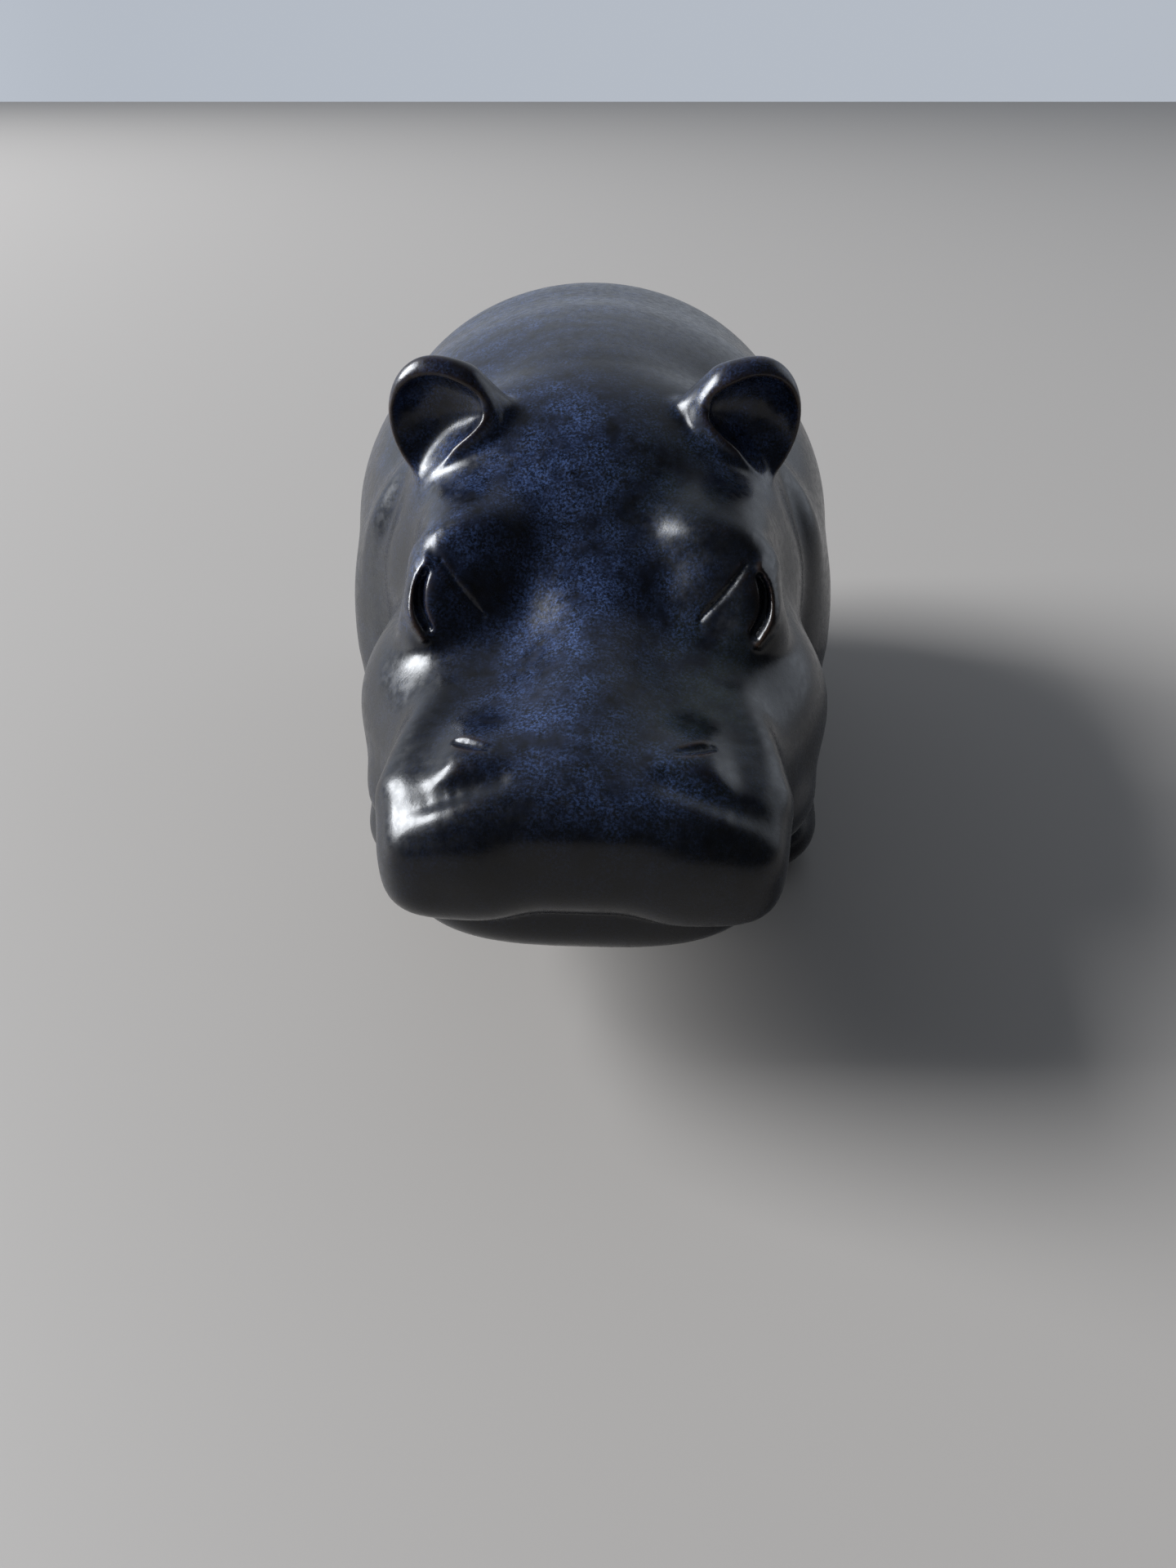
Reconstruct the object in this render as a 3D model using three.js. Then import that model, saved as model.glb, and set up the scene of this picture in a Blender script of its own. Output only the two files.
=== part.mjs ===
// Ceramic hippo figurine, standing, cast in one piece and glazed dark blue.
// Millimetres, +Z up. The head looks towards -Y, the rump is at +Y, x = 0 is the middle of the body.
// The whole figure is one smooth form: rounded masses joined with soft seams, hollows carved with
// soft cuts. The form is wrapped on a grid that is finest at the face and ears and coarse on the back.
import * as THREE from "three";

// Grid: the size of a cell at places behind the muzzle, thinner slices at the ears, and its limits.
const CELL_SIZES = [[26, 2.4], [56, 2.7], [88, 5.3], [126, 5.3], [147, 3.1]];
const EAR_SLICES = { from: 50, to: 58, thinness: 0.6 };
const GRID_START = -4;
const GRID_END = 156;
const HALF_COLUMNS = 17;
const ROWS = 40;
const FLOOR_ROW = 1.65;
const PINCH_SHIFT = 0.2;
const RELAX_ROUNDS = 4;
const PROBE = 0.02;

// Each mass gives its centre and half sizes, or its ends and radii. Its seam is the width of the
// soft blend to the masses named before it.

// Barrel, rump, haunches, shoulders and the roll of the neck.
const BARREL = { at: [0, 93, 40], half: [38.9, 51, 33.6] };
const RUMP = { at: [0, 113, 42.4], half: [36.8, 34.5, 30.8], seam: 5 };
const HAUNCH = { at: [15, 116, 34], half: [20.8, 25, 24], seam: 8 };
const SHOULDER = { at: [13, 70, 33], half: [24.2, 19, 23], seam: 8 };
const NECK_ROLL = { at: [0, 64, 45], half: [32.8, 9, 25], seam: 3 };
const SPINE_SOFTNESS = 4;

// Legs: a tapering column from the body to the ankle, and a rounded foot.
const FORELEG = { from: [22.5, 64, 27], to: [24.5, 54.5, 9], radii: [12.8, 10] };
const FOREFOOT = { at: [25, 51.5, 4.5], half: [10, 10.5, 6], seam: 5 };
const HINDLEG = { from: [21, 119, 30], to: [24.5, 121.5, 9], radii: [16, 10.4] };
const HINDFOOT = { at: [25.2, 118.8, 4.5], half: [10.4, 11, 6], seam: 8 };
const LEG_SEAM = 7;
const SOLE_EDGE = 1.2;

// Tail: a short cord lying on the rump.
const TAIL = { from: [0, 144, 58], to: [0, 147.6, 39], radii: [4, 3.2], seam: 2 };

// Head, facing straight ahead here; the whole head is turned a little about the jaw.
const HEAD_TURN = 2.5;
const TURN_PIVOT = 40;
const TURN_START = 60;
const TURN_LENGTH = 16;
const HEAD_SEAM = 2.5;
const FOREHEAD = { at: [0, 54.5, 49], half: [24.5, 21, 14.3], slope: 36 };
const NECK = { at: [0, 58, 42], half: [30, 19, 25], seam: 6 };
const JOWL = { at: [13, 41, 32], half: [18.7, 20, 16.5], seam: 8 };
const DEWLAP = { at: [14, 30, 25.5], half: [15.3, 14, 7.5], seam: 6 };
const SNOUT = { at: [0, 28, 33], half: [25, 22, 12.2], seam: 8 };
const MUZZLE = { at: [0, 14, 33], half: [22.6, 14, 9.3], seam: 5 };
const BRIDGE = { from: [0, 14, 35], to: [0, 40, 43.5], radii: [8.3, 8.5], seam: 8 };
const CHEEK_RIDGE = { from: [16.6, 32, 43], to: [18.2, 15, 36], radii: [4, 4.6], seam: 7 };
const BROW = { at: [15.4, 44.5, 53.8], half: [7.2, 9.6, 6.6], seam: 5 };
const EYE_MOUND = { at: [19.2, 38, 50], half: [3.2, 9, 6.5], seam: 4 };
const BROW_HOLLOW = { at: [14.2, 28.5, 53.3], half: [4.2, 6.2, 5], seam: 4 };
const EYE = { at: [20.8, 34.5, 49.8], half: [2.6, 4, 3.8], seam: 0.8 };
const LIP_PAD = { at: [14.8, 8.7, 31.4], half: [9.2, 8.6, 8.6], seam: 3 };
const NOSTRIL_MOUND = { at: [13.6, 13, 40], half: [3.6, 4.4, 4], seam: 3 };
const LIP_GROOVE = { from: [14.5, 8.2, 43], to: [20.5, 10.6, 38.6], radii: [2.1, 1.9], seam: 2.5 };
const LOWER_JAW = { at: [0, 20.5, 24.4], half: [22.6, 17.6, 8.2], seam: 1 };

// Ears: a leaf leaning outwards, dished on its front face, with a web down to the crown.
const EAR_SEAM = 2;
const EAR = { at: [19.5, 54.7, 66], half: [6.9, 3.8, 9.1], lean: 14 };
const EAR_DISH = { at: [0, 48.9, 0.4], half: [5.7, 3.8, 8], seam: 1 };
const EAR_WEB = { from: [10, 57, 65.5], to: [16.5, 55.5, 70.6], radii: [2, 2.6], seam: 3 };

const GLAZE = { color: 0x1d2230, roughness: 0.3, metalness: 0 };

const length3 = (a, b, c) => Math.sqrt(a * a + b * b + c * c);

// Joins two signed distances with a rounded seam of the given width.
function join(a, b, seam) {
  const h = Math.max(seam - Math.abs(a - b), 0) / seam;
  return Math.min(a, b) - (h * h * h * seam) / 6;
}

// Cuts the second form out of the first with a rounded edge of the given width.
function carve(form, tool, edge) {
  return -join(-form, tool, edge);
}

// Distance to an ellipsoid.
function egg(x, y, z, { at, half }) {
  const px = (x - at[0]) / half[0];
  const py = (y - at[1]) / half[1];
  const pz = (z - at[2]) / half[2];
  const reach = length3(px, py, pz);
  const steepness = length3(px / half[0], py / half[1], pz / half[2]);
  return steepness < 1e-9 ? -Math.min(...half) : (reach * (reach - 1)) / steepness;
}

// Distance to an ellipsoid with squarer sides.
function pillow(x, y, z, { at, half }) {
  const px = Math.abs(x - at[0]) / half[0];
  const py = Math.abs(y - at[1]) / half[1];
  const pz = Math.abs(z - at[2]) / half[2];
  const reach = Math.cbrt(px ** 3 + py ** 3 + pz ** 3);
  if (reach < 1e-3) return -Math.min(...half);
  const steepness = length3((px * px) / half[0], (py * py) / half[1], (pz * pz) / half[2]);
  return ((reach - 1) * reach * reach) / steepness;
}

// Distance to a rod with round ends whose radius changes along it.
function rod(x, y, z, { from, to, radii }) {
  const ax = to[0] - from[0];
  const ay = to[1] - from[1];
  const az = to[2] - from[2];
  const px = x - from[0];
  const py = y - from[1];
  const pz = z - from[2];
  const along = (px * ax + py * ay + pz * az) / (ax * ax + ay * ay + az * az);
  const t = Math.min(1, Math.max(0, along));
  const radius = radii[0] + (radii[1] - radii[0]) * t;
  return length3(px - t * ax, py - t * ay, pz - t * az) - radius;
}

// Joins an egg to a form with the egg's own seam.
const addEgg = (form, x, y, z, mass) => join(form, egg(x, y, z, mass), mass.seam);

// Joins a rod to a form with the rod's own seam.
const addRod = (form, x, y, z, mass) => join(form, rod(x, y, z, mass), mass.seam);

// Barrel with its rump, haunches and shoulders.
function trunk(x, y, z) {
  const side = Math.sqrt(x * x + SPINE_SOFTNESS ** 2);
  let form = egg(x, y, z, BARREL);
  form = addEgg(form, x, y, z, RUMP);
  form = addEgg(form, side, y, z, HAUNCH);
  return addEgg(form, side, y, z, SHOULDER);
}

// All four legs, the left ones mirrored from the right.
function legs(x, y, z) {
  const side = Math.abs(x);
  const fore = addEgg(rod(side, y, z, FORELEG), side, y, z, FOREFOOT);
  const hind = addEgg(rod(side, y, z, HINDLEG), side, y, z, HINDFOOT);
  return Math.min(fore, hind);
}

// Forehead mass, sloping up from the bridge of the nose to the crown.
function forehead(side, y, z) {
  const slope = (FOREHEAD.slope * Math.PI) / 180;
  const py = y - FOREHEAD.at[1];
  const pz = z - FOREHEAD.at[2];
  const along = py * Math.cos(slope) + pz * Math.sin(slope);
  const above = pz * Math.cos(slope) - py * Math.sin(slope);
  return pillow(side, along, above, { at: [0, 0, 0], half: FOREHEAD.half });
}

// Brow, eye and the hollow between the brow and the nose.
function addEyes(form, side, y, z) {
  let face = addEgg(form, side, y, z, BROW);
  face = addEgg(face, side, y, z, EYE_MOUND);
  face = carve(face, egg(side, y, z, BROW_HOLLOW), BROW_HOLLOW.seam);
  return addEgg(face, side, y, z, EYE);
}

// Upper lip, nostrils and lower jaw.
function addMouth(form, side, y, z) {
  let face = join(form, pillow(side, y, z, MUZZLE), MUZZLE.seam);
  face = addEgg(face, side, y, z, LIP_PAD);
  face = addEgg(face, side, y, z, NOSTRIL_MOUND);
  face = carve(face, rod(side, y, z, LIP_GROOVE), LIP_GROOVE.seam);
  return join(face, pillow(side, y, z, LOWER_JAW), LOWER_JAW.seam);
}

// The head without its ears, facing straight ahead.
function head(x, y, z) {
  const side = Math.abs(x);
  let form = forehead(side, y, z);
  form = addEgg(form, side, y, z, NECK);
  form = addEgg(form, side, y, z, JOWL);
  form = addEgg(form, side, y, z, DEWLAP);
  form = addEgg(form, side, y, z, SNOUT);
  form = addRod(form, side, y, z, BRIDGE);
  form = addRod(form, side, y, z, CHEEK_RIDGE);
  form = addMouth(form, side, y, z);
  return addEyes(form, side, y, z);
}

// Both ears, measured along and across the leaning leaf.
function ears(x, y, z) {
  const side = Math.abs(x);
  const lean = (EAR.lean * Math.PI) / 180;
  const px = side - EAR.at[0];
  const pz = z - EAR.at[2];
  const across = px * Math.cos(lean) - pz * Math.sin(lean);
  const up = px * Math.sin(lean) + pz * Math.cos(lean);
  let leaf = egg(across, y, up, { at: [0, EAR.at[1], 0], half: EAR.half });
  leaf = addRod(leaf, side, y, z, EAR_WEB);
  return carve(leaf, egg(across, y, up, EAR_DISH), EAR_DISH.seam);
}

// Signed distance to the whole hippo: negative inside.
function hippoForm(x, y, z) {
  const t = Math.min(1, Math.max(0, (TURN_START - y) / TURN_LENGTH));
  const turn = ((HEAD_TURN * Math.PI) / 180) * t * t * (3 - 2 * t);
  const headX = x * Math.cos(turn) - (y - TURN_PIVOT) * Math.sin(turn);
  const headY = TURN_PIVOT + x * Math.sin(turn) + (y - TURN_PIVOT) * Math.cos(turn);
  let form = join(trunk(x, y, z), legs(x, y, z), LEG_SEAM);
  form = addEgg(form, x, y, z, NECK_ROLL);
  form = join(form, head(headX, headY, z), HEAD_SEAM);
  form = join(form, ears(headX, headY, z), EAR_SEAM);
  form = addRod(form, x, y, z, TAIL);
  return carve(form, z, SOLE_EDGE);
}

// Cell size at a given distance behind the muzzle, easing from each named place to the next.
function cellSize(y) {
  let size = CELL_SIZES[0][1];
  for (let n = 1; n < CELL_SIZES.length; n++) {
    const [start, before] = CELL_SIZES[n - 1];
    const [end, after] = CELL_SIZES[n];
    const t = Math.min(1, Math.max(0, (y - start) / (end - start)));
    size += (after - before) * t * t * (3 - 2 * t);
  }
  return size;
}

// Slices across the body, each with its position and cell size.
function makeSlices() {
  const slices = [];
  let y = GRID_START;
  while (y < GRID_END) {
    const cell = cellSize(y);
    slices.push({ y, cell });
    y += y > EAR_SLICES.from && y < EAR_SLICES.to ? cell * EAR_SLICES.thinness : cell;
  }
  return slices;
}

// Corner of the grid at column i, slice j and row k.
function corner(slices, i, j, k) {
  const { y, cell } = slices[j];
  return [(i - HALF_COLUMNS) * cell, y, (k - FLOOR_ROW) * cell];
}

// Measures the form at every corner of the grid.
function measure(form, slices, columns) {
  const value = new Float64Array(columns * slices.length * ROWS);
  let n = 0;
  for (let k = 0; k < ROWS; k++) {
    for (let j = 0; j < slices.length; j++) {
      for (let i = 0; i < columns; i++) value[n++] = form(...corner(slices, i, j, k));
    }
  }
  return value;
}

// Clears the cell faces whose corners are inside and outside by turns, where the surface would pinch:
// the corner nearest the surface changes sides.
function clearPinches(value, columns, layer) {
  const faces = [[1, columns], [1, layer], [columns, layer]];
  let changed = true;
  while (changed) {
    changed = false;
    for (let n = 0; n + columns + layer < value.length; n++) {
      for (const [s, t] of faces) {
        const ring = [n, n + s, n + s + t, n + t];
        const [a, b, c, d] = ring.map((m) => value[m] < 0);
        if (a !== c || b !== d || a === b) continue;
        const nearest = ring.reduce((p, q) => (Math.abs(value[q]) < Math.abs(value[p]) ? q : p));
        value[nearest] = value[nearest] < 0 ? PINCH_SHIFT : -PINCH_SHIFT;
        changed = true;
      }
    }
  }
}

// Builds one point in every cell that the surface crosses, and a square for every crossed edge.
function wrapForm(form) {
  const slices = makeSlices();
  const columns = 2 * HALF_COLUMNS + 1;
  const layer = columns * slices.length;
  const index = (i, j, k) => k * layer + j * columns + i;
  const value = measure(form, slices, columns);
  clearPinches(value, columns, layer);
  const pointOf = new Int32Array(value.length).fill(-1);
  const points = [];
  for (let k = 0; k < ROWS - 1; k++) {
    for (let j = 0; j < slices.length - 1; j++) {
      for (let i = 0; i < columns - 1; i++) {
        const point = crossing(slices, value, index, i, j, k);
        if (!point) continue;
        pointOf[index(i, j, k)] = points.length;
        points.push(point);
      }
    }
  }
  const squares = [];
  for (let k = 1; k < ROWS - 1; k++) {
    for (let j = 1; j < slices.length - 1; j++) {
      for (let i = 1; i < columns - 1; i++) addSquares(squares, value, pointOf, index, i, j, k);
    }
  }
  return { points, squares };
}

// Mean of the places where the surface cuts the twelve edges of a cell, or nothing.
function crossing(slices, value, index, i, j, k) {
  const sum = [0, 0, 0];
  let cuts = 0;
  for (let a = 0; a < 8; a++) {
    for (let bit = 1; bit < 8; bit *= 2) {
      if (a & bit) continue;
      const b = a | bit;
      const cellA = [i + (a & 1), j + ((a >> 1) & 1), k + (a >> 2)];
      const cellB = [i + (b & 1), j + ((b >> 1) & 1), k + (b >> 2)];
      const va = value[index(...cellA)];
      const vb = value[index(...cellB)];
      if (va < 0 === vb < 0) continue;
      const t = va / (va - vb);
      const pa = corner(slices, ...cellA);
      const pb = corner(slices, ...cellB);
      for (let n = 0; n < 3; n++) sum[n] += pa[n] + t * (pb[n] - pa[n]);
      cuts += 1;
    }
  }
  return cuts ? sum.map((total) => total / cuts) : null;
}

// Squares around the three grid edges that leave a corner, facing outwards.
function addSquares(squares, value, pointOf, index, i, j, k) {
  const inside = value[index(i, j, k)] < 0;
  const at = (di, dj, dk) => pointOf[index(i - di, j - dj, k - dk)];
  if (inside !== value[index(i + 1, j, k)] < 0) {
    const ring = [at(0, 1, 1), at(0, 0, 1), at(0, 0, 0), at(0, 1, 0)];
    squares.push(inside ? ring : ring.reverse());
  }
  if (inside !== value[index(i, j + 1, k)] < 0) {
    const ring = [at(1, 0, 1), at(1, 0, 0), at(0, 0, 0), at(0, 0, 1)];
    squares.push(inside ? ring : ring.reverse());
  }
  if (inside !== value[index(i, j, k + 1)] < 0) {
    const ring = [at(1, 1, 0), at(0, 1, 0), at(0, 0, 0), at(1, 0, 0)];
    squares.push(inside ? ring : ring.reverse());
  }
}

// Direction and steepness of the form at a point.
function gradient(form, [x, y, z]) {
  return [
    (form(x + PROBE, y, z) - form(x - PROBE, y, z)) / (2 * PROBE),
    (form(x, y + PROBE, z) - form(x, y - PROBE, z)) / (2 * PROBE),
    (form(x, y, z + PROBE) - form(x, y, z - PROBE)) / (2 * PROBE),
  ];
}

// Moves a point onto the surface, by short steps along the slope of the form.
function settle(form, point) {
  for (let round = 0; round < 3; round++) {
    const slope = gradient(form, point);
    const steepness = Math.max(0.1, slope[0] ** 2 + slope[1] ** 2 + slope[2] ** 2);
    const step = form(...point) / steepness;
    for (let n = 0; n < 3; n++) point[n] -= Math.max(-1, Math.min(1, step)) * slope[n];
  }
}

// Evens out the spacing of the points while keeping them on the surface.
function relax(form, points, squares, rounds) {
  for (let round = 0; round < rounds; round++) {
    const sum = points.map(() => [0, 0, 0, 0]);
    for (const ring of squares) {
      ring.forEach((p, n) => {
        const next = points[ring[(n + 1) % 4]];
        for (let axis = 0; axis < 3; axis++) sum[p][axis] += next[axis];
        sum[p][3] += 1;
      });
    }
    points.forEach((point, p) => {
      for (let n = 0; n < 3; n++) point[n] += 0.5 * (sum[p][n] / sum[p][3] - point[n]);
      settle(form, point);
    });
  }
}

// Splits each square along the diagonal whose middle lies nearer the surface.
function triangles(form, points, squares) {
  const gap = (a, b) => Math.abs(form(...points[a].map((v, n) => (v + points[b][n]) / 2)));
  const faces = [];
  for (const [a, b, c, d] of squares) {
    if (gap(a, c) <= gap(b, d)) faces.push(a, b, c, a, c, d);
    else faces.push(a, b, d, b, c, d);
  }
  return faces;
}

function glazeMaterial() {
  const material = new THREE.MeshStandardMaterial(GLAZE);
  material.name = "dark_blue_glaze";
  return material;
}

function hippoMesh() {
  const { points, squares } = wrapForm(hippoForm);
  points.forEach((point) => settle(hippoForm, point));
  relax(hippoForm, points, squares, RELAX_ROUNDS);
  const geometry = new THREE.BufferGeometry();
  geometry.setAttribute("position", new THREE.Float32BufferAttribute(points.flat(), 3));
  geometry.setIndex(triangles(hippoForm, points, squares));
  geometry.computeVertexNormals();
  const mesh = new THREE.Mesh(geometry, glazeMaterial());
  mesh.name = "hippo";
  return mesh;
}

// Puts the middle of the footprint at the origin.
function centred(mesh) {
  mesh.geometry.computeBoundingBox();
  const { min, max } = mesh.geometry.boundingBox;
  mesh.geometry.translate(-(min.x + max.x) / 2, -(min.y + max.y) / 2, -min.z);
  return mesh;
}

const figurine = new THREE.Group();
figurine.name = "hippo_figurine";
figurine.add(centred(hippoMesh()));

export default figurine;
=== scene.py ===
"""Ceramic hippo figurine with a dark cobalt glaze, standing on a plain pale floor.

The hippo is one smooth form: rounded masses joined with soft seams, hollows carved with soft cuts.
It is measured in millimetres with the muzzle at y = 0 and the head towards -Y, wrapped in a fine
mesh, and then moved to its place in the frame in metres.
"""
import math

import bpy
import numpy as np
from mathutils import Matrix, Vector


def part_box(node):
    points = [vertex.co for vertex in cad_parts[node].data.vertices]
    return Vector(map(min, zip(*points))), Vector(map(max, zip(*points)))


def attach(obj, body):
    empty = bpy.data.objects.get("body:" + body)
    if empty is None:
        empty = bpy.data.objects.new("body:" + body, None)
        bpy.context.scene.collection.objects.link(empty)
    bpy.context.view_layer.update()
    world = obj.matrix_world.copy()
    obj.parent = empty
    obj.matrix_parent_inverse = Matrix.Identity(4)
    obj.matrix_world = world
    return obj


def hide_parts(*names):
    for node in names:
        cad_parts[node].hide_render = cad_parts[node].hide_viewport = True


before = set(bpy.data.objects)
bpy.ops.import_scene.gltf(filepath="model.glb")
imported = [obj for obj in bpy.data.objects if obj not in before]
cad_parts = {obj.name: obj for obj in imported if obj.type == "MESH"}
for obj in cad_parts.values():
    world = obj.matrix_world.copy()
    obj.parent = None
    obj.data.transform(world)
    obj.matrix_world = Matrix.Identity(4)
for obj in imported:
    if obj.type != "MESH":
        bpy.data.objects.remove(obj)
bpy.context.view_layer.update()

MM = 0.001

# Grid: the size of a cell at places behind the muzzle, its limits, and the coarse look before it.
CELL_SIZES = ((34, 0.62), (58, 0.66), (86, 1.7), (130, 1.7), (148, 1.2))
GRID_START = -3.0
GRID_END = 156.0
HALF_COLUMNS = 60
ROWS = 124
COARSE_STEP = 4
FLOOR_ROW = 1.65
PINCH_SHIFT = 0.05
RELAX_ROUNDS = 2
FINE_BOXES = (((11, 27, 44), (25, 42, 58)), ((8, 1, 36), (21, 17, 45)), ((11, 48, 57), (29, 62, 78)))
PROBE = 0.02


def curve(route, radii, **more):
    """A rod bent along a smooth route, with its corners cut off twice."""
    spots = np.column_stack([np.array(route, float), radii])
    for _ in range(2):
        early, late = 0.75 * spots[:-1] + 0.25 * spots[1:], 0.25 * spots[:-1] + 0.75 * spots[1:]
        middle = np.stack([early, late], axis=1).reshape(-1, 4)[1:-1]
        spots = np.concatenate([spots[:1], middle, spots[-1:]])
    return dict(route=spots[:, :3], radii=spots[:, 3], **more)


# Each mass gives its centre and half sizes, or its ends and radii. Its seam is the width of the
# soft blend to the masses named before it.
BARREL = dict(at=(0, 93, 40), half=(38.9, 51, 33.6))
RUMP = dict(at=(0, 113, 42.4), half=(36.8, 34.5, 30.8), seam=5)
HAUNCH = dict(at=(15, 116, 34), half=(20.8, 25, 24), seam=8)
SHOULDER = dict(at=(13, 70, 33), half=(24.2, 19, 23), seam=8)
NECK_ROLL = dict(at=(0, 64, 45), half=(32.8, 9, 21), seam=6)
WITHERS = curve(((0, 62, 43.8), (0, 70, 51.8), (0, 79, 52.6), (0, 90, 52.5)), radii=(20, 20, 20, 20), seam=5)
SPINE_SOFTNESS = 4

FORELEG = dict(start=(22.5, 64, 27), end=(24.5, 54.5, 9), radii=(12.8, 10))
FOREFOOT = dict(at=(25, 51.5, 4.5), half=(10, 10.5, 6), seam=5)
HINDLEG = dict(start=(21, 119, 30), end=(24.5, 121.5, 9), radii=(16, 10.4))
HINDFOOT = dict(at=(25.2, 118.8, 4.5), half=(10.4, 11, 6), seam=8)
LEG_SEAM = 7
SOLE_EDGE = 1.2

TAIL = dict(start=(0, 144, 58), end=(0, 147.6, 39), radii=(4, 3.2), seam=2)

HEAD_TURN = math.radians(2.5)
TURN_PIVOT = 40
TURN_START = 60
TURN_LENGTH = 16
HEAD_SEAM = 2.5
CROWN_SEAM = 9.6
CROWN_START, CROWN_HEIGHT = 50, 14
FOREHEAD = dict(at=(0, 54.5, 49), half=(24.5, 21, 14.3), slope=math.radians(36))
NECK = dict(at=(0, 58, 42), half=(30, 19, 25), seam=6)
JOWL = dict(at=(13, 41, 32), half=(18.7, 20, 16.5), seam=8)
DEWLAP = dict(at=(14, 30, 25.5), half=(15.3, 14, 7.5), seam=6)
SNOUT = dict(at=(0, 28, 33), half=(25, 22, 12.2), seam=8)
MUZZLE = dict(at=(0, 14, 33), half=(22.6, 14, 9.3), seam=5)
BRIDGE = dict(start=(0, 14, 35), end=(0, 40, 43.5), radii=(8.3, 8.5), seam=8)
CHEEKBONE = dict(at=(17.2, 28.5, 37.9), half=(4.2, 9, 3.8), seam=6)
BROW = dict(at=(14.4, 45.5, 54), half=(8, 8.4, 6.4), seam=5)
CREST = curve(((8.4, 46, 52.4), (12, 41.6, 55), (14.8, 39.2, 55.6), (18, 38.7, 54.9), (20.5, 38.6, 53.2)),
              radii=(2.4, 2.8, 2.8, 2.5, 2.0), seam=5)
EYE_MOUND = dict(at=(18.4, 40, 48.6), half=(4.3, 9.4, 7.2), seam=4)
EYE_PLANE = dict(at=(16, 38.2, 49.2), half=(6.4, 5, 6.6), seam=4)
BROW_HOLLOW = dict(at=(12.6, 23, 58), half=(12, 13.2, 10.8), seam=2.4)
HOLLOW_FOOT, HOLLOW_HEIGHT, HOLLOW_SOFTNESS = 49, 7, 5
EYE_BED = curve(((13.6, 35, 45.4), (19.4, 35, 46.2)), radii=(3.2, 4.8), seam=5)
LIP_PAD = dict(at=(14.2, 8.8, 30.4), half=(8.8, 8.6, 6.6), seam=5)
PAD_TOP = dict(at=(12.2, 6.4, 33.4), half=(6.7, 6.2, 5.9), seam=3)
NOSTRIL_MOUND = dict(at=(12, 11.8, 38.2), half=(5.6, 6.2, 4.5), seam=5)
WHISKER_RIDGE = curve(((16.8, 23, 40.2), (19.2, 17.6, 38.8), (20.4, 11, 36)), radii=(1.8, 2.4, 2.6), seam=5)
WHISKER_VALLEY = curve(((15.6, 20, 47.4), (17.4, 12, 44), (18.4, 5, 41.6)), radii=(1.6, 1.8, 1.4), seam=4)
LIP_GROOVE = curve(((9.4, 5.4, 42.4), (14.4, 4.2, 41.2), (20.4, 4, 39)), radii=(1.0, 1.4, 0.8), seam=3.2)
LOWER_JAW = dict(at=(0, 20.5, 24.4), half=(22.6, 17.6, 8.2), seam=1)

EAR_SEAM = 2
EAR = dict(at=(19.9, 54.7, 65.6), half=(7.3, 3.7, 8.9), lean=math.radians(15), turn=math.radians(12))
EAR_DISH = curve(((-6.2, -2.4, 1.4), (-3.0, -2.9, 2.0), (1.2, -3.6, 2.4), (3.6, -3.8, -1.0), (4.6, -3.6, -4.0)),
                 radii=(1.2, 3.4, 5.4, 4.4, 2.6), seam=1.3)
EAR_WEB = dict(start=(6.4, 58.4, 61), end=(16.5, 55.6, 70.8), radii=(2.6, 1.7), seam=5)

CHAIN_SEAM = 0.3
NEAR_REACH = 1.5

# Fine relief of the face: eyeballs, lids and creases, nostril slits and the line of the mouth.
EYEBALL = dict(at=(19.5, 34.6, 50.6), half=(1.5, 1.9, 2.2), seam=1.8)
OUTER_LID = curve(((20.6, 34, 54.6), (22.3, 34, 52.6), (22.5, 34, 49), (20.6, 34, 46.6)),
                  radii=(0.5, 0.9, 0.9, 0.5), reach=6, height=0.55, seam=1.6)
EYE_SLIT = curve(((20.4, 34, 53.4), (21.2, 34, 51.8), (21.2, 34, 49.4), (20, 34, 47.6)),
                 radii=(0.3, 0.5, 0.5, 0.45), reach=6, depth=0.5, seam=0.9)
CREASE = curve(((13.4, 34, 48.2), (16, 34, 51.2), (18.6, 34, 54.6)), radii=(0.15, 0.28, 0.2), reach=6,
               depth=0.2, seam=0.7)
NOSTRIL = curve(((10.6, 9.6, 43.4), (12.6, 10.2, 43.5), (14.4, 11.4, 42.9)), radii=(0.5, 0.8, 0.5), seam=0.7)
MOUTH_LINE = 0.5


def length3(a, b, c):
    return np.sqrt(a * a + b * b + c * c)


def ease(value, start, length):
    """Rises smoothly from 0 at the start to 1 at the end of a stretch."""
    t = np.clip((value - start) / length, 0, 1)
    return t * t * (3 - 2 * t)


def join(a, b, seam):
    """Joins two signed distances with a rounded seam of the given width."""
    h = np.maximum(seam - np.abs(a - b), 0) / seam
    return np.minimum(a, b) - h * h * h * (seam / 6)


def carve(form, tool, edge):
    """Cuts the second form out of the first with a rounded edge of the given width."""
    return -join(-form, tool, edge)


def egg(x, y, z, mass):
    """Distance to an ellipsoid."""
    at, half = mass["at"], mass["half"]
    px, py, pz = (x - at[0]) / half[0], (y - at[1]) / half[1], (z - at[2]) / half[2]
    reach = length3(px, py, pz)
    steepness = length3(px / half[0], py / half[1], pz / half[2])
    return reach * (reach - 1) / np.maximum(steepness, 1e-9)


def pillow(x, y, z, mass):
    """Distance to an ellipsoid with squarer sides."""
    at, half = mass["at"], mass["half"]
    px, py, pz = (np.abs((v - c) / h) for v, c, h in zip((x, y, z), at, half))
    reach = np.cbrt(px * px * px + py * py * py + pz * pz * pz)
    steepness = length3(px * px / half[0], py * py / half[1], pz * pz / half[2])
    return (reach - 1) * reach * reach / np.maximum(steepness, 1e-9)


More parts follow.
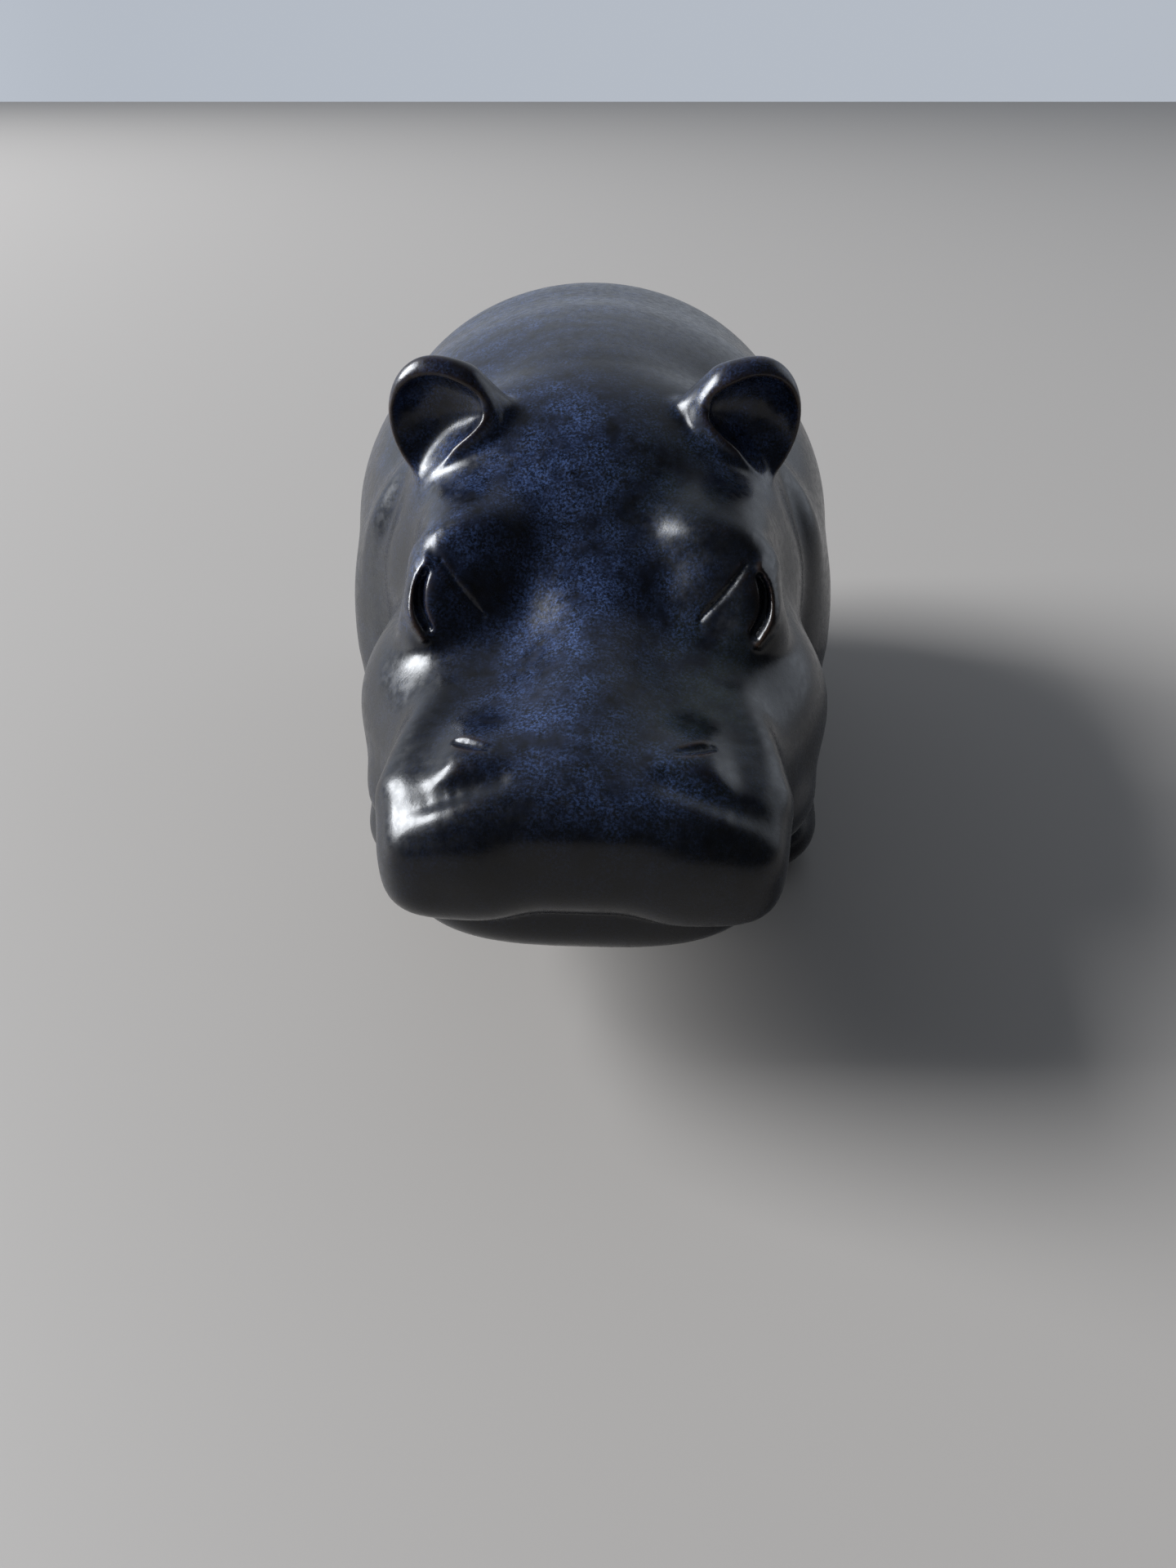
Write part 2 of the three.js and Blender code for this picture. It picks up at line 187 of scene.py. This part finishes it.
def rod(x, y, z, mass):
    """Distance to a rod with round ends whose radius changes along it."""
    start, end, radii = mass["start"], mass["end"], mass["radii"]
    ax, ay, az = (e - s for s, e in zip(start, end))
    px, py, pz = x - start[0], y - start[1], z - start[2]
    along = np.clip((px * ax + py * ay + pz * az) / (ax * ax + ay * ay + az * az), 0, 1)
    radius = radii[0] + (radii[1] - radii[0]) * along
    return length3(px - along * ax, py - along * ay, pz - along * az) - radius


def chain(x, y, z, mass):
    """Distance to a bent rod."""
    form = 1e3
    for start, end, r0, r1 in zip(mass["route"], mass["route"][1:], mass["radii"], mass["radii"][1:]):
        form = join(form, rod(x, y, z, dict(start=start, end=end, radii=(r0, r1))), CHAIN_SEAM)
    return form


def blend_near(blend, form, x, y, z, mass):
    """Blends a bent rod with the form, at the points in the box round the rod alone."""
    reach = max(mass["radii"]) + mass["seam"] + NEAR_REACH
    low, high = mass["route"].min(axis=0) - reach, mass["route"].max(axis=0) + reach
    near = (x > low[0]) & (x < high[0]) & (y > low[1]) & (y < high[1]) & (z > low[2]) & (z < high[2])
    form = form.copy()
    form[near] = blend(form[near], chain(x[near], y[near], z[near], mass), mass["seam"])
    return form


def add_egg(form, x, y, z, mass):
    return join(form, egg(x, y, z, mass), mass["seam"])


def add_rod(form, x, y, z, mass):
    return join(form, rod(x, y, z, mass), mass["seam"])


def add_chain(form, x, y, z, mass):
    return blend_near(join, form, x, y, z, mass)


def carve_chain(form, x, y, z, mass):
    return blend_near(carve, form, x, y, z, mass)


def front_line(form, x, y, z, mass):
    """Distance to a bent rod that runs along the front of the form, wherever that front lies."""
    start = mass["route"][0][1]
    front = start + np.maximum(np.abs(y - start) - mass["reach"], 0)
    return blend_near(lambda far, line, seam: line, np.full_like(form, 1e3), x, front, z, mass)


def engrave(form, x, y, z, mass):
    """Cuts a line of the given depth into the front of the form."""
    line = front_line(form, x, y, z, mass)
    return carve(form, carve(line, form + mass["depth"], mass["seam"]), mass["seam"])


def emboss(form, x, y, z, mass):
    """Raises a line of the given height on the front of the form."""
    line = front_line(form, x, y, z, mass)
    return join(form, carve(line, mass["height"] - form, mass["seam"]), mass["seam"])


def trunk(x, y, z):
    """Barrel with its rump, haunches and shoulders."""
    side = np.sqrt(x * x + SPINE_SOFTNESS**2)
    form = egg(x, y, z, BARREL)
    form = add_egg(form, x, y, z, RUMP)
    form = add_chain(form, x, y, z, WITHERS)
    form = add_egg(form, side, y, z, HAUNCH)
    return add_egg(form, side, y, z, SHOULDER)


def legs(x, y, z):
    """All four legs, the left ones mirrored from the right."""
    side = np.abs(x)
    fore = add_egg(rod(side, y, z, FORELEG), side, y, z, FOREFOOT)
    hind = add_egg(rod(side, y, z, HINDLEG), side, y, z, HINDFOOT)
    return np.minimum(fore, hind)


def forehead(side, y, z):
    """Forehead mass, sloping up from the bridge of the nose to the crown."""
    slope = FOREHEAD["slope"]
    py, pz = y - FOREHEAD["at"][1], z - FOREHEAD["at"][2]
    along = py * math.cos(slope) + pz * math.sin(slope)
    above = pz * math.cos(slope) - py * math.sin(slope)
    return pillow(side, along, above, dict(at=(0, 0, 0), half=FOREHEAD["half"]))


def add_eyes(form, side, y, z):
    """Brows with their crests, the hollows in front of them, and the eyeballs between their lids."""
    face = add_egg(form, side, y, z, BROW)
    face = add_egg(face, side, y, z, EYE_MOUND)
    face = add_chain(face, side, y, z, CREST)
    face = add_chain(face, side, y, z, EYE_BED)
    softness = BROW_HOLLOW["seam"] + HOLLOW_SOFTNESS * (1 - ease(z, HOLLOW_FOOT, HOLLOW_HEIGHT))
    face = carve(face, egg(side, y, z, BROW_HOLLOW), softness)
    face = add_egg(face, side, y, z, EYE_PLANE)
    face = add_egg(face, side, y, z, EYEBALL)
    face = emboss(face, side, y, z, OUTER_LID)
    face = engrave(face, side, y, z, EYE_SLIT)
    return engrave(face, side, y, z, CREASE)


def add_mouth(form, side, y, z):
    """Upper lip, nostrils and lower jaw."""
    face = join(form, pillow(side, y, z, MUZZLE), MUZZLE["seam"])
    face = join(face, pillow(side, y, z, LIP_PAD), LIP_PAD["seam"])
    face = add_egg(face, side, y, z, PAD_TOP)
    face = add_egg(face, side, y, z, NOSTRIL_MOUND)
    face = add_chain(face, side, y, z, WHISKER_RIDGE)
    face = carve_chain(face, side, y, z, WHISKER_VALLEY)
    face = carve_chain(face, side, y, z, LIP_GROOVE)
    face = carve_chain(face, side, y, z, NOSTRIL)
    return join(face, pillow(side, y, z, LOWER_JAW), MOUTH_LINE)


def head(x, y, z):
    """The head without its ears, facing straight ahead."""
    side = np.abs(x)
    form = forehead(side, y, z)
    for mass in (NECK, JOWL, DEWLAP, SNOUT):
        form = add_egg(form, side, y, z, mass)
    form = add_rod(form, side, y, z, BRIDGE)
    form = add_egg(form, side, y, z, CHEEKBONE)
    form = add_mouth(form, side, y, z)
    return add_eyes(form, side, y, z)


def ears(x, y, z):
    """Both ears: a leaf turned and leaning outwards, with its web, dished in front."""
    side = np.abs(x)
    lean, turn = EAR["lean"], EAR["turn"]
    px, py, pz = (v - c for v, c in zip((side, y, z), EAR["at"]))
    out = px * math.cos(turn) + py * math.sin(turn)
    back = py * math.cos(turn) - px * math.sin(turn)
    across = out * math.cos(lean) - pz * math.sin(lean)
    up = out * math.sin(lean) + pz * math.cos(lean)
    leaf = egg(across, back, up, dict(at=(0, 0, 0), half=EAR["half"]))
    leaf = add_rod(leaf, side, y, z, EAR_WEB)
    return carve_chain(leaf, across, back, up, EAR_DISH)


def hippo_form(x, y, z):
    """Signed distance to the whole hippo: negative inside."""
    turn = HEAD_TURN * (1 - ease(y, TURN_START - TURN_LENGTH, TURN_LENGTH))
    head_x = x * np.cos(turn) - (y - TURN_PIVOT) * np.sin(turn)
    head_y = TURN_PIVOT + x * np.sin(turn) + (y - TURN_PIVOT) * np.cos(turn)
    form = join(trunk(x, y, z), legs(x, y, z), LEG_SEAM)
    form = add_egg(form, x, y, z, NECK_ROLL)
    form = join(form, head(head_x, head_y, z), HEAD_SEAM + (CROWN_SEAM - HEAD_SEAM) * ease(z, CROWN_START, CROWN_HEIGHT))
    form = join(form, ears(head_x, head_y, z), EAR_SEAM)
    form = add_rod(form, x, y, z, TAIL)
    return carve(form, z, SOLE_EDGE)


def cell_size(y):
    """Cell size at a distance behind the muzzle, easing from each named place to the next."""
    size = CELL_SIZES[0][1]
    for (start, before), (end, after) in zip(CELL_SIZES, CELL_SIZES[1:]):
        size += (after - before) * ease(y, start, end - start)
    return size


def make_slices():
    """Place and cell size of each slice across the body."""
    places, cells = [], []
    y = GRID_START
    while y < GRID_END:
        places.append(y)
        cells.append(cell_size(y))
        y += cells[-1]
    return np.array(places), np.array(cells)


def corners(places, cells, i, j, k):
    """Positions of the grid corners at columns i, slices j and rows k."""
    return np.stack([(i - HALF_COLUMNS) * cells[j], places[j], (k - FLOOR_ROW) * cells[j]], axis=-1)


def measure(places, cells):
    """The form at the corners of the grid: at all of them coarsely, then at those near the surface."""
    shape = (2 * HALF_COLUMNS + 1, len(places), ROWS)
    coarse = [np.arange(0, n + COARSE_STEP - 1, COARSE_STEP).clip(max=n - 1) for n in shape]
    spot = corners(places, cells, *np.meshgrid(*coarse, indexing="ij"))
    near = hippo_form(spot[..., 0], spot[..., 1], spot[..., 2])
    nearest = [np.rint(np.arange(n) / COARSE_STEP).astype(int) for n in shape]
    value = near[np.ix_(*nearest)]
    reach = 1.3 * COARSE_STEP * cells[None, :, None]
    i, j, k = np.nonzero(np.abs(value) < reach)
    value[i, j, k] = hippo_form(*corners(places, cells, i, j, k).T)
    return value


def clear_pinches(value):
    """Fills the cell faces whose corners are inside and outside by turns: of the outer corners the
    one nearest the surface comes inside."""
    steps = np.eye(3, dtype=int)
    changed = True
    while changed:
        changed = False
        for s, t in ((0, 1), (0, 2), (1, 2)):
            ring = (0 * steps[s], steps[s], steps[s] + steps[t], steps[t])
            size = np.array(value.shape) - steps[s] - steps[t]
            a, b, c, d = (value[tuple(slice(o, o + n) for o, n in zip(r, size))] < 0 for r in ring)
            for spot in np.argwhere((a == c) & (b == d) & (a != b)):
                outer = [tuple(spot + r) for r in ring if value[tuple(spot + r)] >= 0]
                if outer:
                    value[min(outer, key=lambda n: value[n])] = -PINCH_SHIFT
                    changed = True


def crossings(value, places, cells):
    """One point in every cell that the surface crosses: the mean of its cuts through the edges."""
    inside = value < 0
    count = sum(inside[a:a - 1 or None, b:b - 1 or None, c:c - 1 or None].astype(np.int8)
                for a in (0, 1) for b in (0, 1) for c in (0, 1))
    cell = np.argwhere((count > 0) & (count < 8))
    total = np.zeros((len(cell), 3))
    cuts = np.zeros((len(cell), 1))
    for a in np.ndindex(2, 2, 2):
        for axis in range(3):
            if a[axis]:
                continue
            low = cell + a
            high = low + np.eye(3, dtype=int)[axis]
            va, vb = value[tuple(low.T)], value[tuple(high.T)]
            cut = ((va < 0) != (vb < 0))[:, None]
            t = (va / np.where(va == vb, 1, va - vb))[:, None]
            pa, pb = corners(places, cells, *low.T), corners(places, cells, *high.T)
            total += np.where(cut, pa + t * (pb - pa), 0)
            cuts += cut
    point_of = np.full(value.shape, -1)
    point_of[tuple(cell.T)] = np.arange(len(cell))
    return total / cuts, point_of


def find_squares(value, point_of):
    """A square round every crossed edge, facing outwards."""
    rings = (
        ((0, 1, 1), (0, 0, 1), (0, 0, 0), (0, 1, 0)),
        ((1, 0, 1), (1, 0, 0), (0, 0, 0), (0, 0, 1)),
        ((1, 1, 0), (0, 1, 0), (0, 0, 0), (1, 0, 0)),
    )
    inside = value < 0
    squares = []
    for axis, ring in enumerate(rings):
        step = np.eye(3, dtype=int)[axis]
        low = inside[tuple(slice(0, n - s) for n, s in zip(value.shape, step))]
        high = inside[tuple(slice(s, n) for n, s in zip(value.shape, step))]
        edge = np.argwhere(low != high)
        faces = np.stack([point_of[tuple((edge - r).T)] for r in ring], axis=1)
        outward = low[tuple(edge.T)]
        squares.append(np.where(outward[:, None], faces, faces[:, ::-1]))
    return np.concatenate(squares)


def gradient(points):
    """Direction and steepness of the form at each point."""
    here = hippo_form(*points.T)
    steps = np.eye(3) * PROBE
    return np.stack([hippo_form(*(points + step).T) - here for step in steps], axis=1) / PROBE


def settle(points):
    """Moves each point onto the surface, by short steps along the slope of the form."""
    for _ in range(2):
        slope = gradient(points)
        steepness = np.maximum(0.1, (slope * slope).sum(axis=1))
        step = np.clip(hippo_form(*points.T) / steepness, -0.5, 0.5)
        points -= step[:, None] * slope


def relax(points, faces):
    """Evens out the spacing of the points while keeping them on the surface."""
    start = np.concatenate(faces)
    end = np.concatenate([np.roll(face, -1) for face in faces])
    share = np.bincount(start, minlength=len(points))[:, None]
    for _ in range(RELAX_ROUNDS):
        total = np.stack([np.bincount(start, points[end, n], len(points)) for n in range(3)], axis=1)
        points += 0.5 * (total / share - points)
        settle(points)


def refine(points, squares, fine):
    """Splits the fine squares in four. Their coarse neighbours take the new points into their edges."""
    count = len(points)
    ahead = np.roll(squares, -1, axis=1)
    key = np.minimum(squares, ahead) * count + np.maximum(squares, ahead)
    split = np.unique(key[fine])
    spot = np.searchsorted(split, key).clip(max=len(split) - 1)
    middle = np.where(split[spot] == key, count + spot, -1)
    centre = count + len(split) + np.arange(fine.sum())
    cuts = (points[split // count] + points[split % count]) / 2
    hearts = points[squares[fine]].mean(axis=1)
    faces = []
    for n in range(4):
        parts = (squares[fine, n], middle[fine, n], centre, middle[fine, n - 1])
        faces += np.stack(parts, axis=1).tolist()
    for square, cut in zip(squares[~fine].tolist(), middle[~fine].tolist()):
        faces.append([spot for pair in zip(square, cut) for spot in pair if spot >= 0])
    return np.concatenate([points, cuts, hearts]), faces


def near_detail(points):
    """True for the points in a box round an eye, a nostril or an ear."""
    side = np.abs(points[:, 0])
    boxed = np.zeros(len(points), bool)
    for low, high in FINE_BOXES:
        inside = (points > (-99, *low[1:])) & (points < (99, *high[1:]))
        boxed |= inside.all(axis=1) & (side > low[0]) & (side < high[0])
    return boxed


def wrap_form():
    """Points and faces of the fine surface, in millimetres."""
    places, cells = make_slices()
    value = measure(places, cells)
    clear_pinches(value)
    points, point_of = crossings(value, places, cells)
    squares = find_squares(value, point_of)
    settle(points)
    relax(points, squares)
    points, faces = refine(points, squares, near_detail(points[squares[:, 0]]))
    settle(points)
    relax(points, faces)
    return points, faces


# Glaze patches: centre and half sizes of the blue clouds and of the greenish ones, and the strength.
# The blue clouds are the glaze's own flecks. They sit mostly on the left, where the window light falls,
# so they also paint that side lighter and bluer: painted light. The greenish ones on the right are painted
# shade.
COBALT_AND_LIT_SIDE_PATCHES = (
    ((-6, 52, 62), (12, 13, 12), 1.0),
    ((-2, 33, 48), (11, 14, 12), 1.0),
    ((-4, 18, 42), (9, 12, 8), 0.8),
    ((3, 8, 38), (11, 6, 6), 0.7),
    ((-16, 38, 53), (9, 8, 8), 0.8),
    ((-20, 54, 66), (9, 8, 9), 0.8),
    ((20, 54, 66), (8, 8, 9), 0.9),
    ((-14, 100, 68), (30, 40, 20), 0.6),
)
# Greenish patches on the right side, away from the window: painted shade.
PAINTED_SHADE_GREEN_PATCHES = (
    ((11, 22, 42), (10, 14, 8), 1.0),
    ((16, 8, 36), (8, 6, 8), 0.7),
    ((11, 50, 60), (9, 11, 9), 0.8),
)
PATCH_FLOOR = 0.08


def patch_mask(points, patches, floor):
    """How strongly each point lies in the soft patches, from the floor value to 1."""
    mask = np.full(len(points), floor)
    for at, half, strength in patches:
        reach = (((points - at) / half) ** 2).sum(axis=1)
        mask = np.maximum(mask, strength * np.exp(-0.8 * reach))
    return mask


def edge_mask(points):
    """Where the surface bends outwards sharply, so that the glaze runs thin: from 0 to 1."""
    reach = 0.7
    normal = gradient(points)
    normal /= np.linalg.norm(normal, axis=1)[:, None]
    across = np.cross(normal, (0.31, 0.52, 0.79))
    across /= np.linalg.norm(across, axis=1)[:, None]
    along = np.cross(normal, across)
    bend = sum(hippo_form(*(points + sign * reach * way).T) for way in (across, along) for sign in (-1, 1))
    return np.clip((bend / reach**2 - 0.25) / 0.9, 0, 1)


def build_hippo():
    points, faces = wrap_form()
    low, high = (np.array(corner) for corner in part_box("hippo"))
    middle = (points.min(axis=0) + points.max(axis=0)) / 2
    shift = np.array([middle[0], middle[1], points[:, 2].min()])
    base = np.array([(low[0] + high[0]) / 2, (low[1] + high[1]) / 2, low[2]])
    placed = (points - shift) * MM + base
    mesh = bpy.data.meshes.new("glazed_hippo")
    mesh.from_pydata(placed.tolist(), [], faces)
    mesh.shade_smooth()
    slope = gradient(points)
    mesh.normals_split_custom_set_from_vertices(slope / np.linalg.norm(slope, axis=1)[:, None])
    masks = {
        # Glaze masks: blue patches weighted to the lit side (partly painted light), a greenish painted shade on
        # the far side, and thin glaze over edges.
        "cobalt_and_lit_side": patch_mask(points, COBALT_AND_LIT_SIDE_PATCHES, PATCH_FLOOR),
        "painted_shade_green": patch_mask(points, PAINTED_SHADE_GREEN_PATCHES, 0),
        "thin": edge_mask(points),
    }
    for name, values in masks.items():
        mesh.attributes.new(name, "FLOAT", "POINT").data.foreach_set("value", values)
    piece = bpy.data.objects.new("glazed_hippo", mesh)
    bpy.context.scene.collection.objects.link(piece)
    print("hippo points", len(points), "triangles", sum(len(face) - 2 for face in faces), "shift", shift)
    return piece


def add_material(name):
    material = bpy.data.materials.new(name)
    material.use_nodes = True
    return material, material.node_tree.nodes, material.node_tree.links


def add_node(nodes, links, kind, inputs=None, **settings):
    """Adds a shader node; an input is a plain value or the socket that feeds it."""
    node = nodes.new(kind)
    for name, value in settings.items():
        setattr(node, name, value)
    for name, value in (inputs or {}).items():
        if isinstance(value, bpy.types.NodeSocket):
            links.new(value, node.inputs[name])
        else:
            node.inputs[name].default_value = value
    return node


def glaze_material():
    """Near-black glaze with fine blue flecks in patches, brownish where it thins over edges. The blue patches
    sit mostly on the window side and paint it lighter (painted light); a dull tint on the far side is painted
    shade.
    """
    material, nodes, links = add_material("dark_blue_glaze")
    shader = nodes["Principled BSDF"]

    def node(kind, inputs=None, **settings):
        return add_node(nodes, links, kind, inputs, **settings)

    def noise(scale, detail, roughness=0.5):
        inputs = {"Vector": coords, "Scale": scale, "Detail": detail, "Roughness": roughness}
        return node("ShaderNodeTexNoise", inputs).outputs["Fac"]

    def span(value, low, high, start=0.0, end=1.0):
        inputs = {"Value": value, "From Min": low, "From Max": high, "To Min": start, "To Max": end}
        return node("ShaderNodeMapRange", inputs).outputs["Result"]

    def times(a, b):
        return node("ShaderNodeMath", {0: a, 1: b}, operation="MULTIPLY").outputs[0]

    def mask(name):
        return node("ShaderNodeAttribute", attribute_name=name).outputs["Fac"]

    def blend(share, first, second):
        inputs = {0: share, 6: first, 7: second}
        return node("ShaderNodeMix", inputs, data_type="RGBA").outputs[2]

    coords = node("ShaderNodeTexCoord").outputs["Object"]
    cloud = span(noise(260, 4, 0.6), 0.36, 0.62)
    grain = span(noise(3000, 3, 0.7), 0.44, 0.68)
    # Blue flecks and the haze between them: the glaze's own colour, but held in patches set mostly on the
    # window side, so they also paint that side lighter and bluer (painted light).
    lit_side_speckle = times(times(cloud, grain), mask("cobalt_and_lit_side"))
    lit_side_haze = times(span(noise(700, 3), 0.3, 0.7), mask("cobalt_and_lit_side"))
    color = blend(lit_side_haze, (0.0020, 0.0024, 0.0036, 1), (0.012, 0.018, 0.042, 1))
    # Dull greenish tint on the right side, away from the window: painted shade.
    color = blend(times(mask("painted_shade_green"), cloud), color, (0.010, 0.013, 0.010, 1))
    color = blend(lit_side_speckle, color, (0.07, 0.12, 0.29, 1))
    color = blend(times(mask("thin"), span(noise(420, 3), 0.3, 0.7, 0.4, 1.0)), color, (0.030, 0.017, 0.010, 1))
    links.new(color, shader.inputs["Base Color"])
    shader.inputs["IOR"].default_value = 1.43
    links.new(span(noise(900, 3), 0.3, 0.7, 0.20, 0.34), shader.inputs["Roughness"])
    peel = noise(2400, 2)
    bump = node("ShaderNodeBump", {"Strength": 0.25, "Distance": 0.00004, "Height": peel})
    links.new(bump.outputs["Normal"], shader.inputs["Normal"])
    return material


def floor_material():
    material, nodes, links = add_material("pale_floor")
    shader = nodes["Principled BSDF"]
    shader.inputs["Base Color"].default_value = (0.33, 0.31, 0.29, 1)
    shader.inputs["Roughness"].default_value = 0.6
    return material


def add_floor():
    size = 3.0
    mesh = bpy.data.meshes.new("floor")
    spots = [(-size, -size, 0), (size, -size, 0), (size, size, 0), (-size, size, 0)]
    mesh.from_pydata(spots, [], [(0, 1, 2, 3)])
    floor = bpy.data.objects.new("floor", mesh)
    floor.data.materials.append(floor_material())
    bpy.context.scene.collection.objects.link(floor)


# Soft cards of the surroundings: direction, where each begins and is full, and its strength.
WORLD_BASE = 0.06
WORLD_CARDS = (
    ((0, 1, 0.15), 0.1, 0.95, 0.5),
    ((0.86, 0.4, 0.34), 0.88, 0.98, 1.0),
    ((-1, 0.2, 0.1), 0.5, 0.9, 0.35),
)

# Camera: where it stood in the millimetres of the form, its downward tilt and its lens.
CAMERA_AT = (-0.74, -95.7, 107.3)
CAMERA_DOWN = math.radians(33)
FOCAL_PIXELS = 1387
PHOTO_HEIGHT = 1920
FORM_MIDDLE_Y = 75.3
SENSOR = 36


def add_camera():
    data = bpy.data.cameras.new("camera")
    data.sensor_width = SENSOR
    data.lens = FOCAL_PIXELS / PHOTO_HEIGHT * SENSOR
    data.clip_start = 0.01
    camera = bpy.data.objects.new("camera", data)
    x, y, z = CAMERA_AT
    camera.location = (x * MM, (y - FORM_MIDDLE_Y) * MM, z * MM)
    camera.rotation_euler = (math.pi / 2 - CAMERA_DOWN, 0, 0)
    bpy.context.scene.collection.objects.link(camera)
    bpy.context.scene.camera = camera


def add_light(name, place, size, power, color):
    """A soft rectangular light facing the figure."""
    data = bpy.data.lights.new(name, "AREA")
    data.shape = "RECTANGLE"
    data.size, data.size_y = size
    data.energy = power
    data.color = color
    light = bpy.data.objects.new(name, data)
    light.location = place
    light.rotation_euler = (Vector((0, 0, 0.04)) - Vector(place)).to_track_quat("-Z", "Y").to_euler()
    bpy.context.scene.collection.objects.link(light)


def add_world():
    """Soft surroundings: dim overhead and in front, pale behind the figure and at its right."""
    world = bpy.data.worlds.new("studio")
    world.use_nodes = True
    nodes, links = world.node_tree.nodes, world.node_tree.links
    way = nodes.new("ShaderNodeTexCoord").outputs["Generated"]
    total = None
    for toward, start, end, strength in WORLD_CARDS:
        side = Vector(toward).normalized()
        dot = add_node(nodes, links, "ShaderNodeVectorMath", {0: way, 1: side}, operation="DOT_PRODUCT")
        inputs = {"Value": dot.outputs["Value"], "From Min": start, "From Max": end, "To Max": strength}
        card = add_node(nodes, links, "ShaderNodeMapRange", inputs, interpolation_type="SMOOTHSTEP").outputs[0]
        if total is not None:
            card = add_node(nodes, links, "ShaderNodeMath", {0: total, 1: card}, operation="ADD").outputs[0]
        total = card
    total = add_node(nodes, links, "ShaderNodeMath", {0: total, 1: WORLD_BASE}, operation="ADD").outputs[0]
    links.new(total, nodes["Background"].inputs["Strength"])
    nodes["Background"].inputs["Color"].default_value = (0.82, 0.89, 1.0, 1)
    bpy.context.scene.world = world


hippo = build_hippo()
hippo.data.materials.append(glaze_material())
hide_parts("hippo")
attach(hippo, "root")
add_floor()
add_camera()
add_light("window", (-2.5, 0.4, 1.55), (1.5, 1.4), 200, (0.93, 0.96, 1.0))
add_world()
bpy.context.scene.view_settings.view_transform = "Standard"
